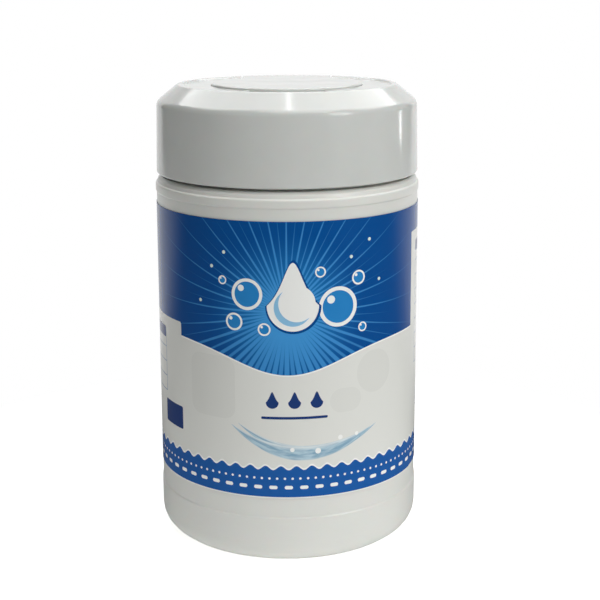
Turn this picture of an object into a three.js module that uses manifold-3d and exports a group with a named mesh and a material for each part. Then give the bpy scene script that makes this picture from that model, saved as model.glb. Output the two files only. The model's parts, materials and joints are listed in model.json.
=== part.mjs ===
// Wipes canister: a blow-moulded canister with a wrapped label, a roll of wipes pulled from its
// middle, a two-start screw cap on a gasket, and a round flip lid that turns on moulded pins.
// Millimetres, +Z up. The origin is the middle of the standing ring, and the front faces -Y.
import * as THREE from 'three';
import { mergeVertices } from 'three/addons/utils/BufferGeometryUtils.js';
import Module from 'manifold-3d';

const wasm = await Module();
wasm.setup();

// Clearances
const seatGap = 0.1;        // between flat or round faces that rest on one another
const runningGap = 0.3;     // beside parts that turn or slide past one another
const pinGap = 0.08;        // around each hinge pin in its socket
const threadGap = 0.9;      // between the neck's thread and the skirt
const rollGap = 0.3;        // round the roll as it goes in through the neck

// Canister body
const bodyRadius = 56;
const bodyWall = 1.3;
const baseCornerRadius = 9.4;
const standingRingWidth = 8.6;
const pushUpHeight = 3;
const pushUpRun = 3;        // radial length of the slope up from the standing ring
const baseBandHeight = 21;  // floor to the foot of the label panel
const panelRecess = 0.4;
const panelStep = 0.6;      // height of the sloped step at each end of the panel
const shoulderBandHeight = 3.5;
const shoulderEdgeRadius = 1.2;
const shoulderEdgeSweep = 60;
const shoulderDraw = 1.1;   // how far the shoulder leans in before it turns under the cap
const shoulderRise = 2.6;
const neckHeight = 29;      // from the top of the shoulder's lean to the sealing rim

// Screw thread, right-handed
const threadStarts = 2;
const threadLead = 12;      // rise in one turn
const threadSweep = 210;    // degrees covered by each start
const threadDepth = 1.6;
const threadFoot = 2.4;     // axial thickness at the root
const threadCrest = 1.2;
const threadRoot = 0.5;     // how deep the ridge is sunk in its wall
const threadTopDrop = 3.4;  // sealing rim down to the upper end of the ridge

// Label
const labelHeight = 113.8;
const labelThickness = 0.3;
const labelFootMargin = 8.4;  // bare panel below the label
const labelHeadMargin = 4.7;  // bare panel above the label

// Gasket
const gasketOverhang = 1;   // how far it reaches in past the neck's bore
const gasketThickness = 1.2;

// Screw cap
const capInset = 1.1;       // cap's upper edge inside the body's radius
const capDraft = 0.6;       // how much wider the skirt is at its foot
const capWall = 1.8;
const capEdgeSoftness = 0.8;
const capSkirtHeight = 29.6;
const capChamferHeight = 7;
const capChamferRun = 8.7;
const capRimWidth = 2;
const deckWidth = 14.6;     // rim's outer edge in to the lid's disc
const deckDrop = 0.6;       // deck below the rim
const deckThickness = 1.8;
const sealLandDepth = 7.4;  // rim down to the flat that holds the gasket
const wellInset = 2.8;      // lid's edge in to the well's wall
const wellWall = 1.6;
const wellDepth = 9;        // rim down to the well's floor
const wellFloor = 1.4;
const orificeRadius = 4.6;
const slitCount = 6;
const slitReach = 11;
const slitWidth = 1.2;
const thumbHalfWidth = 19;
const thumbRimGap = 4;      // deck left between the dip and the rim
const thumbDepth = 4.6;

// Flip lid
const lidRaise = 0.3;       // lid's top above the cap's rim
const lidThickness = 1.7;
const lidEdgeRadius = 0.7;
const plugWall = 1.2;
const plugDepth = 3.2;
const plugGap = 0.4;        // between the plug ring and the well
const strapHalfWidth = 19.5;
const hingeInset = 7.7;     // rim's outer edge in to the hinge axis
const knuckleRadius = 2.3;
const pinRadius = 0.9;
const pinLength = 1.4;
const slotBackGap = 0.6;    // behind the knuckle, where the lid's back swings down
const notchWidth = 1.1;     // V notch in the rim at each end of the knuckle

// Roll of wipes
const rollHoleRadius = 16;
const rollHeight = 142;
const rollGrooves = 6;      // shallow rings that show the turns on the upper end
const rollGrooveDepth = 0.7;
const tailRadius = 2.4;
const tailStart = 14;       // below the roll's top, where the tail leaves the innermost turn
const tailTip = 4.4;        // above the well's floor

// Facets
const turnFacets = 48;
const arcSteps = 5;

// Radii that follow from the sizes above
const panelRadius = bodyRadius - panelRecess;
const shoulderRadius = bodyRadius - shoulderDraw;
const baseFlatRadius = bodyRadius - baseCornerRadius;
const standingRingInner = baseFlatRadius - standingRingWidth;
const pushUpRadius = standingRingInner - pushUpRun;
const capShoulderRadius = bodyRadius - capInset;
const capFootRadius = capShoulderRadius + capDraft;
const capInner = capShoulderRadius - capWall;
const capRimRadius = capShoulderRadius - capChamferRun;
const neckRadius = capInner - threadGap - threadDepth;
const neckInner = neckRadius - bodyWall;
const gasketInner = neckInner - gasketOverhang;
const sealLandInner = gasketInner - runningGap;
const lidRadius = capRimRadius - deckWidth;
const wellRadius = lidRadius - wellInset;
const thumbRadius = capRimRadius - capRimWidth - thumbRimGap;
const hingeOffset = capRimRadius - hingeInset;
const rollRadius = neckInner - rollGap;

// Heights that follow from the sizes above
const labelBottomZ = baseBandHeight + labelFootMargin;
const labelTopZ = labelBottomZ + labelHeight;
const panelTopZ = labelTopZ + labelHeadMargin;
const shoulderEdgeZ = panelTopZ + panelStep + shoulderBandHeight;
const neckFootZ = shoulderEdgeZ + shoulderRise;
const neckTopZ = neckFootZ + neckHeight;
const landZ = neckTopZ + seatGap + gasketThickness + seatGap;
const rimZ = landZ + sealLandDepth;
const deckZ = rimZ - deckDrop;
const chamferFootZ = rimZ - capChamferHeight;
const capFootZ = chamferFootZ - capSkirtHeight;
const wellFloorZ = rimZ - wellDepth;
const lidTopZ = rimZ + lidRaise;
const lidUnderZ = lidTopZ - lidThickness;
const hingeZ = lidTopZ - knuckleRadius;
const rollBottomZ = pushUpHeight + bodyWall + seatGap;
const rollTopZ = rollBottomZ + rollHeight;

// Helpers

// Points of a round stretch about (radius, height), from one angle to another in degrees.
function arc(centreRadius, centreZ, size, from, to, steps = arcSteps) {
  return Array.from({ length: steps + 1 }, (_, i) => {
    const angle = THREE.MathUtils.degToRad(from + ((to - from) * i) / steps);
    return [centreRadius + size * Math.cos(angle), centreZ + size * Math.sin(angle)];
  });
}

// Solid of revolution about Z from [radius, height] points, run with the material on the left.
function turned(points) {
  const profile = points.map(([radius, z]) => new THREE.Vector2(radius, z));
  return new THREE.LatheGeometry(profile, turnFacets).rotateX(Math.PI / 2);
}

// A ring's section is closed by coming back to its first point.
function turnedRing(points) {
  return turned([...points, points[0]]);
}

// Upright prism of a flat outline, from one height to another.
function prism(shape, fromZ, toZ) {
  const options = { depth: toZ - fromZ, bevelEnabled: false, curveSegments: 12 };
  return new THREE.ExtrudeGeometry(shape, options).translate(0, 0, fromZ);
}

function block(fromX, toX, fromY, toY, fromZ, toZ) {
  return new THREE.BoxGeometry(toX - fromX, toY - fromY, toZ - fromZ)
    .translate((fromX + toX) / 2, (fromY + toY) / 2, (fromZ + toZ) / 2);
}

// Round bar along X.
function barX(radius, fromX, toX, y, z, facets = 24) {
  return new THREE.CylinderGeometry(radius, radius, toX - fromX, facets)
    .rotateZ(Math.PI / 2)
    .translate((fromX + toX) / 2, y, z);
}

// A closed mesh as a solid for cutting and joining: vertices merged, triangles of no area left out.
function solid(geometry) {
  const bare = geometry.clone();
  bare.deleteAttribute('normal');
  bare.deleteAttribute('uv');
  const merged = mergeVertices(bare, 1e-5);
  const corners = merged.index.array;
  const kept = [];
  for (let i = 0; i < corners.length; i += 3) {
    const [a, b, c] = [corners[i], corners[i + 1], corners[i + 2]];
    if (a !== b && b !== c && c !== a) kept.push(a, b, c);
  }
  return new wasm.Manifold(new wasm.Mesh({
    numProp: 3,
    vertProperties: new Float32Array(merged.attributes.position.array),
    triVerts: new Uint32Array(kept),
  }));
}

function geometryOf(body) {
  const { vertProperties, triVerts } = body.getMesh();
  const geometry = new THREE.BufferGeometry();
  geometry.setAttribute('position', new THREE.BufferAttribute(new Float32Array(vertProperties), 3));
  geometry.setIndex(new THREE.BufferAttribute(new Uint32Array(triVerts), 1));
  geometry.computeVertexNormals();
  return geometry;
}

// Rising path about Z, which starts on the +X side.
class Helix extends THREE.Curve {
  constructor(radius, startZ) {
    super();
    this.radius = radius;
    this.startZ = startZ;
  }

  getPoint(t, target = new THREE.Vector3()) {
    const degrees = threadSweep * t;
    const angle = THREE.MathUtils.degToRad(degrees);
    const z = this.startZ + (threadLead * degrees) / 360;
    return target.set(this.radius * Math.cos(angle), this.radius * Math.sin(angle), z);
  }
}

// Ridges of the thread. They stand out from a neck (side 1) or in from a skirt (side -1).
function threadRidges(wallRadius, startZ, side) {
  const section = new THREE.Shape();
  section.moveTo(side * threadRoot, -threadFoot / 2);
  section.lineTo(side * threadRoot, threadFoot / 2);
  section.lineTo(-side * threadDepth, threadCrest / 2);
  section.lineTo(-side * threadDepth, -threadCrest / 2);
  const path = new Helix(wallRadius, startZ);
  const ridge = new THREE.ExtrudeGeometry(section, { steps: 36, extrudePath: path });
  const ridges = Array.from({ length: threadStarts }, (_, i) =>
    solid(ridge.clone().rotateZ((2 * Math.PI * i) / threadStarts)));
  return ridges.reduce((all, one) => all.add(one));
}

const neckThreadZ = neckTopZ - threadTopDrop - (threadLead * threadSweep) / 360;
const capThreadZ = neckThreadZ - threadFoot - runningGap;

// Pieces

// Blown in one piece: standing ring, pushed-up base, recessed label panel, shoulder and neck.
function canisterBody() {
  const cornerInside = baseCornerRadius - bodyWall;
  const edgeCentre = bodyRadius - shoulderEdgeRadius;
  const edgeCentreZ = shoulderEdgeZ - shoulderEdgeRadius;
  const outside = [
    [0, pushUpHeight],
    [pushUpRadius, pushUpHeight],
    [standingRingInner, 0],
    ...arc(baseFlatRadius, baseCornerRadius, baseCornerRadius, -90, 0),
    [bodyRadius, baseBandHeight - panelStep],
    [panelRadius, baseBandHeight],
    [panelRadius, panelTopZ],
    [bodyRadius, panelTopZ + panelStep],
    ...arc(edgeCentre, edgeCentreZ, shoulderEdgeRadius, 0, shoulderEdgeSweep),
    [shoulderRadius, shoulderEdgeZ + shoulderRise / 2],
    [shoulderRadius - shoulderRise / 2, neckFootZ],
    [neckRadius, neckFootZ + seatGap],
    [neckRadius, neckTopZ],
  ];
  const inside = [
    [neckInner, neckTopZ],
    [neckInner, neckFootZ - bodyWall],
    [panelRadius - bodyWall, shoulderEdgeZ - bodyWall],
    ...arc(baseFlatRadius, baseCornerRadius, cornerInside, 0, -90)
      .map(([radius, z]) => [Math.min(radius, panelRadius - bodyWall), z]),
    [standingRingInner, bodyWall],
    [pushUpRadius, pushUpHeight + bodyWall],
    [0, pushUpHeight + bodyWall],
  ];
  const shell = solid(turned([...outside, ...inside]));
  return geometryOf(shell.add(threadRidges(neckRadius, neckThreadZ, 1)));
}

// Printed film, wrapped once round the panel.
function label() {
  const inner = panelRadius + seatGap;
  const outer = inner + labelThickness;
  return turnedRing([
    [inner, labelBottomZ],
    [outer, labelBottomZ],
    [outer, labelTopZ],
    [inner, labelTopZ],
  ]);
}

// Flat ring between the neck's rim and the cap's land.
function capGasket() {
  const outer = capInner - runningGap;
  const bottom = neckTopZ + seatGap;
  const top = bottom + gasketThickness;
  return turnedRing([[gasketInner, bottom], [outer, bottom], [outer, top], [gasketInner, top]]);
}

// The cap's moulding before its openings are cut.
function capShell() {
  const wellOuter = wellRadius + wellWall;
  const deckUnder = deckZ - deckThickness;
  return solid(turned([
    [0, wellFloorZ - wellFloor],
    [wellOuter, wellFloorZ - wellFloor],
    [wellOuter, deckUnder],
    [capRimRadius, deckUnder],
    [sealLandInner, deckUnder - deckThickness],
    [sealLandInner, landZ],
    [capInner, landZ],
    [capFootRadius - capWall, capFootZ],
    [capFootRadius, capFootZ],
    [capShoulderRadius, chamferFootZ - capEdgeSoftness],
    [capShoulderRadius - capEdgeSoftness / 2, chamferFootZ + capEdgeSoftness / 2],
    [capRimRadius, rimZ],
    [capRimRadius - capRimWidth, rimZ],
    [capRimRadius - capRimWidth - deckDrop, deckZ],
    [wellRadius, deckZ],
    [wellRadius, wellFloorZ],
    [0, wellFloorZ],
  ]));
}

// Star that lets one wipe through: a round hole with slits that run out from it.
function starCutter() {
  const hole = new THREE.CylinderGeometry(orificeRadius, orificeRadius, 3 * wellFloor, 24)
    .rotateX(Math.PI / 2)
    .translate(0, 0, wellFloorZ - wellFloor / 2);
  const slit = block(0, slitReach, -slitWidth / 2, slitWidth / 2,
    wellFloorZ - 2 * wellFloor, wellFloorZ + wellFloor);
  return Array.from({ length: slitCount }, (_, i) =>
    solid(slit.clone().rotateZ((2 * Math.PI * i) / slitCount)))
    .reduce((all, one) => all.add(one), solid(hole));
}

// Dip in the deck in front of the lid, so a thumb can lift the lid's edge.
function thumbCutter() {
  const inner = wellRadius + wellWall;
  const half = Math.asin(thumbHalfWidth / thumbRadius);
  const outline = new THREE.Shape();
  outline.absarc(0, 0, thumbRadius, -Math.PI / 2 - half, -Math.PI / 2 + half, false);
  outline.absarc(0, 0, inner, -Math.PI / 2 + half, -Math.PI / 2 - half, true);
  return solid(prism(outline, deckZ - thumbDepth, rimZ));
}

// Floor and walls that close the dip from below.
function thumbTray() {
  const outer = thumbRadius + deckThickness;
  const half = Math.asin((thumbHalfWidth + deckThickness) / outer);
  const outline = new THREE.Shape();
  outline.absarc(0, 0, outer, -Math.PI / 2 - half, -Math.PI / 2 + half, false);
  outline.absarc(0, 0, wellRadius + wellWall / 2, -Math.PI / 2 + half, -Math.PI / 2 - half, true);
  return solid(prism(outline, deckZ - thumbDepth - deckThickness, deckZ - deckThickness / 2));
}

// Slopes the slot's back, so that the open lid's top can lie over the rim.
function swingCutter(half, back) {
  const foot = hingeZ - runningGap;
  const rise = 2 * knuckleRadius;
  const wedge = new THREE.Shape();
  wedge.moveTo(back - runningGap, foot);
  wedge.lineTo(back + rise, foot + rise + runningGap);
  wedge.lineTo(back - runningGap, foot + rise + runningGap);
  return solid(new THREE.ExtrudeGeometry(wedge, { depth: 2 * half, bevelEnabled: false })
    .rotateY(Math.PI / 2)
    .rotateX(Math.PI / 2)
    .translate(-half, 0, 0));
}

// V groove through the rim at one end of the knuckle (side 1 or -1).
function notchCutter(half, side) {
  const section = new THREE.Shape();
  section.moveTo(side * (half - runningGap), hingeZ);
  section.lineTo(side * (half + notchWidth), lidTopZ);
  section.lineTo(side * (half - runningGap), lidTopZ);
  const length = bodyRadius - hingeOffset;
  return solid(new THREE.ExtrudeGeometry(section, { depth: length, bevelEnabled: false })
    .rotateX(Math.PI / 2)
    .translate(0, bodyRadius, 0));
}

// Channel for the strap, slot for the knuckle and sockets for its pins.
function hingeCutter() {
  const half = strapHalfWidth + runningGap;
  const floor = hingeZ - knuckleRadius - runningGap;
  const front = hingeOffset - knuckleRadius - runningGap;
  const back = hingeOffset + knuckleRadius + slotBackGap;
  const above = lidTopZ + lidThickness;
  const seatZ = lidUnderZ - seatGap;
  const slot = solid(block(-half, half, front, back, floor, above));
  const channel = solid(block(-half, half, wellRadius / 2, hingeOffset, seatZ, above));
  const socketEnd = half + pinLength;
  const sockets = solid(barX(pinRadius + pinGap, -socketEnd, socketEnd, hingeOffset, hingeZ));
  return slot.add(channel).add(sockets).add(swingCutter(half, back))
    .add(notchCutter(half, 1)).add(notchCutter(half, -1));
}

// Cheeks, back and floor around the slot, which carry the hinge pins.
function hingeBlock() {
  const half = strapHalfWidth + runningGap + pinLength + deckThickness;
  const front = hingeOffset - knuckleRadius - runningGap - deckThickness;
  const floor = hingeZ - knuckleRadius - runningGap - deckThickness;
  const landOuter = sealLandInner + seatGap;
  const housing = block(-half, half, front, capInner, floor, deckZ);
  const insideCap = turned([
    [0, floor],
    [landOuter, floor],
    [landOuter, deckZ - deckThickness],
    [capRimRadius - capRimWidth, deckZ],
    [0, deckZ],
  ]);
  return solid(housing).intersect(solid(insideCap));
}

// Shallow seat that the lid's disc lies in.
function lidSeatCutter() {
  const seatRadius = lidRadius + runningGap;
  const seatZ = lidUnderZ - seatGap;
  return solid(turned([[0, seatZ], [seatRadius, seatZ], [seatRadius, lidTopZ], [0, lidTopZ]]));
}

function screwCap() {
  const body = capShell().add(thumbTray()).add(hingeBlock())
    .add(threadRidges(capInner + threadRoot / 2, capThreadZ, -1));
  return geometryOf(body.subtract(lidSeatCutter()).subtract(thumbCutter())
    .subtract(hingeCutter()).subtract(starCutter()));
}

// Disc with a plug ring under it, and a strap back to the knuckle and its two pins.
function flipLid() {
  const plugOuter = wellRadius - plugGap;
  const disc = solid(turned([
    [0, lidUnderZ],
    [plugOuter - plugWall, lidUnderZ],
    [plugOuter - plugWall, lidUnderZ - plugDepth],
    [plugOuter, lidUnderZ - plugDepth],
    [plugOuter, lidUnderZ],
    [lidRadius, lidUnderZ],
    ...arc(lidRadius - lidEdgeRadius, lidTopZ - lidEdgeRadius, lidEdgeRadius, 0, 90, 3),
    [0, lidTopZ],
  ]));
  const strap = solid(block(-strapHalfWidth, strapHalfWidth, wellRadius / 2, hingeOffset, lidUnderZ, lidTopZ));
  const knuckle = solid(barX(knuckleRadius, -strapHalfWidth, strapHalfWidth, hingeOffset, hingeZ));
  const reach = strapHalfWidth + pinLength;
  const pins = solid(barX(pinRadius, -reach, reach, hingeOffset, hingeZ));
  return geometryOf(disc.add(strap).add(knuckle).add(pins));
}

// Coreless roll with rings on its upper end, and the twisted tail that runs up to the orifice.
function wipesRoll() {
  const pitch = (rollRadius - rollHoleRadius) / rollGrooves;
  const grooveZ = rollTopZ - rollGrooveDepth;
  const rings = Array.from({ length: rollGrooves }, (_, i) => {
    const outer = rollRadius - pitch * i;
    return [[outer, grooveZ], [outer - pitch / 3, rollTopZ], [outer - (2 * pitch) / 3, rollTopZ]];
  }).flat();
  const roll = solid(turnedRing([
    [rollHoleRadius, rollBottomZ],
    [rollRadius, rollBottomZ],
    ...rings,
    [rollHoleRadius, grooveZ],
  ]));
  const path = new THREE.CatmullRomCurve3([
    new THREE.Vector3(rollHoleRadius + tailRadius, 0, rollTopZ - tailStart),
    new THREE.Vector3(rollHoleRadius / 2, 0, rollTopZ - tailStart / 2),
    new THREE.Vector3(0, 0, rollTopZ + tailStart),
    new THREE.Vector3(0, 0, wellFloorZ - wellFloor),
    new THREE.Vector3(0, 0, wellFloorZ + tailTip),
  ]);
  const section = new THREE.Shape().absarc(0, 0, tailRadius, 0, 2 * Math.PI, false);
  const options = { steps: 20, extrudePath: path, curveSegments: 8 };
  return geometryOf(roll.add(solid(new THREE.ExtrudeGeometry(section, options))));
}

// Materials
const whitePlastic = new THREE.MeshStandardMaterial({ color: 0xd8d9d4, roughness: 0.32, metalness: 0 });
const capPlastic = new THREE.MeshStandardMaterial({ color: 0xdfe1de, roughness: 0.28, metalness: 0 });
const printedFilm = new THREE.MeshStandardMaterial({ color: 0x15508f, roughness: 0.25, metalness: 0 });
const gasketFoam = new THREE.MeshStandardMaterial({ color: 0xf2f2ee, roughness: 0.8, metalness: 0 });
const wipeCloth = new THREE.MeshStandardMaterial({ color: 0xf4f5f3, roughness: 0.95, metalness: 0 });

const canister = new THREE.Group();

function addPiece(name, geometry, material) {
  const mesh = new THREE.Mesh(geometry, material);
  mesh.name = name;
  canister.add(mesh);
}

addPiece('canister_body', canisterBody(), whitePlastic);
addPiece('label', label(), printedFilm);
addPiece('wipes_roll', wipesRoll(), wipeCloth);
addPiece('cap_gasket', capGasket(), gasketFoam);
addPiece('screw_cap', screwCap(), capPlastic);
addPiece('flip_lid', flipLid(), capPlastic);

export default canister;
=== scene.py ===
"""Wipes canister: blown white canister, wrapped printed label, roll with a drawn-up wipe, gasket,
screw cap with a star opening, and flip lid. Shapes are worked out in millimetres in the part's own
frame (+Z up, front towards -Y) and put into the meshes in metres."""

import json
import math

import bmesh
import bpy
import numpy as np
from mathutils import Matrix, Vector


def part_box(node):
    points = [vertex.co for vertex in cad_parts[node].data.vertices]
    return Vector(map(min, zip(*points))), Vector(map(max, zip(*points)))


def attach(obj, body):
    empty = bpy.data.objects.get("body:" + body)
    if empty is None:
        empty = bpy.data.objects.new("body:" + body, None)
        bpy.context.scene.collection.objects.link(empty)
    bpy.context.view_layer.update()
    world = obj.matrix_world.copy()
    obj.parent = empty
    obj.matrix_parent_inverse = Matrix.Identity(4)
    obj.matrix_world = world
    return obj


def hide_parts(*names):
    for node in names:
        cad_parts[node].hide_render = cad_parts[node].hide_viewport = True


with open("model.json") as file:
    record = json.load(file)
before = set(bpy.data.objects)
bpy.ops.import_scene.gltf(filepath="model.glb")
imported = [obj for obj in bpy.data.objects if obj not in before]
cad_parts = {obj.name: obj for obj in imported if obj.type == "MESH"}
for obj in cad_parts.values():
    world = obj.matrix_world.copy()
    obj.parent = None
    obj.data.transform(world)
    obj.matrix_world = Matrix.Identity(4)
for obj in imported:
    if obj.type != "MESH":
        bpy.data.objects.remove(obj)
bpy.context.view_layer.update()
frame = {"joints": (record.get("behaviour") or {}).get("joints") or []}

MM = 0.001

# Sizes taken from the frame, in mm


def extent(node):
    """Lowest and highest corner of a node in mm."""
    low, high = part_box(node)
    return np.array(low) / MM, np.array(high) / MM


body_high = extent("canister_body")[1]
label_low, label_high = extent("label")
gasket_low, gasket_high = extent("cap_gasket")
cap_low, cap_high = extent("screw_cap")
lid_high = extent("flip_lid")[1]
roll_low, roll_high = extent("wipes_roll")
hinge = [joint for joint in frame["joints"] if joint["name"] == "lid_swing"][0]
hinge_y, hinge_z = np.array(hinge["pos_m"][1:]) / MM

# Gaps
running_gap = 0.3          # beside parts that turn or slide past one another
seat_gap = 0.1             # between faces that rest on one another
thread_gap = 0.9           # between the neck's thread and the skirt

# Canister body
body_radius = body_high[0]
body_wall = 1.3
base_corner = 9.4
standing_ring_width = 8.6
push_up_height = 3.0
base_band_top = 21.0
panel_recess = 0.4
panel_step = 0.6
shoulder_band = 3.5
shoulder_edge = 1.2
shoulder_draw = 1.1
shoulder_rise = 2.6
neck_top = body_high[2]
label_head_margin = 4.7    # bare panel above the label
panel_top = label_high[2] + label_head_margin

# Screw thread, right-handed
thread_starts = 2
thread_lead = 12.0
thread_sweep = 210.0
thread_depth = 1.6
thread_foot = 2.4
thread_crest = 1.2
thread_root = 0.5
thread_top_drop = 3.4      # sealing rim down to the upper end of the ridge

# Label
label_foot = label_low[2]
label_solid = 0.3          # thickness of the plain solid that the film stands for
film_thickness = 0.12
film_gap = 0.01            # between the film and the inner face of that solid
label_seam = 65.4          # round the wrap from the front to the overlap's edge
label_overlap = 7.0

# Screw cap
cap_foot = cap_low[2]
cap_foot_radius = cap_high[0]
cap_radius = 54.9
cap_wall = 1.8
neck_radius = cap_radius - cap_wall - thread_gap - thread_depth
cap_edge = 3.6             # rounding between the skirt and the chamfer
rim_top = cap_high[2]
chamfer_height = 7.0
chamfer_run = 8.7
rim_radius = cap_radius - chamfer_run
rim_width = 2.0
deck_drop = 0.6
deck = rim_top - deck_drop
deck_thickness = 1.8
seal_land = gasket_high[2] + seat_gap
seal_land_inner = 48.0     # inner radius of the flat that holds the gasket
well_radius = 28.8
well_wall = 1.6
well_floor = 183.4
well_floor_thickness = 1.4
broken_edge = 0.18         # width of the edges that the mould leaves on the cap and the lid
star_hole = 4.6
star_reach = 11.0
slit_width = 1.2
slit_count = 6
thumb_outer = 40.2
thumb_half_width = 19.0
thumb_depth = 4.6

# Flip lid
lid_top = lid_high[2]
lid_thickness = 1.7
lid_under = lid_top - lid_thickness
lid_radius = 31.6
lid_edge = 1.0
plug_gap = 0.4
plug_wall = 1.2
plug_depth = 3.2
strap_half = 19.5
knuckle_radius = 2.3
pin_radius = 0.9
pin_length = 1.4
pin_gap = 0.08
notch_width = 1.1
slot_back_gap = 0.6        # behind the knuckle, where the lid's back swings down

# Roll of wipes
roll_radius = 49.0
roll_hole = 16.0
roll_height = 142.0
roll_foot = roll_low[2]
roll_top = roll_foot + roll_height
tail_radius = 2.4
tail_top = roll_high[2]
cloth_thickness = 0.45
hollow_rows = 12           # sections from the tip down inside the tuft

# Fineness
round_steps = 256          # facets round the axis
corner_steps = 6           # facets in one rounded corner

# Mesh tools


def grid_faces(rows, columns, close_rows=False, close_columns=True):
    """Quads between neighbouring points of a grid, which may close on itself either way."""
    row = np.arange(rows if close_rows else rows - 1)
    column = np.arange(columns if close_columns else columns - 1)
    a, b = np.meshgrid(row, column, indexing="ij")
    below = ((a + 1) % rows) * columns
    beside = (b + 1) % columns
    a = a * columns
    return np.stack([a + b, a + beside, below + beside, below + b], axis=-1).reshape(-1, 4)


def as_object(name, points, faces):
    """A mesh object at the origin from points in mm and lists of corner numbers."""
    mesh = bpy.data.meshes.new(name)
    mesh.from_pydata((np.asarray(points) * MM).tolist(), [], faces)
    mesh.validate()
    mesh.shade_smooth()
    made = bpy.data.objects.new(name, mesh)
    bpy.context.scene.collection.objects.link(made)
    return made


def outward(made):
    """Turns the faces of a closed mesh to point out."""
    edit = bmesh.new()
    edit.from_mesh(made.data)
    bmesh.ops.recalc_face_normals(edit, faces=edit.faces)
    edit.to_mesh(made.data)
    edit.free()
    return made


def outline(corners, closed=True, steps=corner_steps):
    """Points of a flat outline. Each corner (x, y, radius) becomes an arc that touches both of its
    sides: its centre lies on the corner's bisector, and the arc turns evenly from side to side."""
    points = []
    for k, (x, y, radius) in enumerate(corners):
        here = np.array((x, y), float)
        if radius == 0 or (not closed and k in (0, len(corners) - 1)):
            points.append(here[None])
            continue
        before = np.array(corners[k - 1][:2]) - here
        after = np.array(corners[(k + 1) % len(corners)][:2]) - here
        shortest = min(np.linalg.norm(before), np.linalg.norm(after))
        before = before / np.linalg.norm(before)
        after = after / np.linalg.norm(after)
        half = math.acos(np.clip(before @ after, -1, 1)) / 2
        reach = min(radius / math.tan(half), 0.49 * shortest)
        middle = (before + after) / np.linalg.norm(before + after)
        centre = here + middle * reach / math.cos(half)
        start = here + before * reach - centre
        end = here + after * reach - centre
        turn = math.pi - 2 * half
        t = np.linspace(0, 1, steps + 1)[:, None]
        points.append(centre + (np.sin((1 - t) * turn) * start + np.sin(t * turn) * end) / math.sin(turn))
    return np.concatenate(points)


def turned(name, corners, on_axis=False, facets=round_steps):
    """Solid of revolution: an outline of (radius, height, rounding) corners carried round the Z axis.
    It closes on itself, or where on_axis is set it starts and ends in a pole on the axis."""
    profile = outline(corners, closed=not on_axis)
    poles = profile[[0, -1]] if on_axis else None
    if on_axis:
        profile = profile[1:-1]
    angle = np.linspace(0, 2 * np.pi, facets, endpoint=False)
    radius, height = profile[:, :1], profile[:, 1:]
    points = np.stack([
        radius * np.cos(angle),
        radius * np.sin(angle),
        height + 0 * angle,
    ], axis=-1).reshape(-1, 3)
    rows = len(profile)
    faces = grid_faces(rows, facets, close_rows=not on_axis).tolist()
    if on_axis:
        points = np.concatenate([points, [[0, 0, poles[0, 1]], [0, 0, poles[1, 1]]]])
        here = np.arange(facets)
        following = (here + 1) % facets
        last = (rows - 1) * facets
        first_pole = np.full(facets, rows * facets)
        faces += np.stack([first_pole, following, here], axis=-1).tolist()
        faces += np.stack([last + here, last + following, first_pole + 1], axis=-1).tolist()
    return as_object(name, points, faces)


def lofted(name, sections):
    """Closed body through a stack of sections (rows of points of the same count), with flat ends."""
    rows, columns = sections.shape[:2]
    faces = grid_faces(rows, columns).tolist()
    ring = np.arange(columns)
    faces += [ring[::-1].tolist(), (ring + (rows - 1) * columns).tolist()]
    return outward(as_object(name, sections.reshape(-1, 3), faces))


def extruded(name, flat, low, high, along):
    """Straight prism: a flat outline carried from low to high along axis 0, 1 or 2 (X, Y or Z).
    The outline's two numbers are the other two axes, in order."""
    flat = np.asarray(flat, float)
    sections = np.insert(np.stack([flat, flat]), along, 0.0, axis=-1)
    sections[0, :, along] = low
    sections[1, :, along] = high
    return lofted(name, sections)


def block(name, low, high):
    """Plain box between two corners, used only to cut or join."""
    (x0, y0, z0), (x1, y1, z1) = low, high
    return extruded(name, [(x0, y0), (x1, y0), (x1, y1), (x0, y1)], z0, z1, 2)


def circle(radius, x=0.0, y=0.0, count=48):
    """Points of a circle about (x, y), evenly spaced in angle."""
    angle = np.linspace(0, 2 * np.pi, count, endpoint=False)
    return np.stack([x + radius * np.cos(angle), y + radius * np.sin(angle)], axis=-1)


def combined(piece, others, operation):
    """Joins closed meshes to a piece, cuts them from it or keeps what they share with it."""
    for other in others:
        step = piece.modifiers.new("combine", "BOOLEAN")
        step.operation = operation
        step.solver = "EXACT"
        step.object = other
    bpy.context.view_layer.update()
    depsgraph = bpy.context.evaluated_depsgraph_get()
    mesh = bpy.data.meshes.new_from_object(piece.evaluated_get(depsgraph))
    piece.modifiers.clear()
    piece.data = mesh
    mesh.shade_smooth()
    for other in others:
        bpy.data.objects.remove(other)
    return piece


def softened(piece, width, segments=2):
    """Breaks the sharp edges that cuts leave, as a mould's edges do."""
    bevel = piece.modifiers.new("broken edges", "BEVEL")
    bevel.width = width * MM
    bevel.segments = segments
    bevel.limit_method = "ANGLE"
    bevel.angle_limit = math.radians(38)
    flat = piece.modifiers.new("flat faces stay flat", "WEIGHTED_NORMAL")
    flat.weight = 80
    return piece


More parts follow.
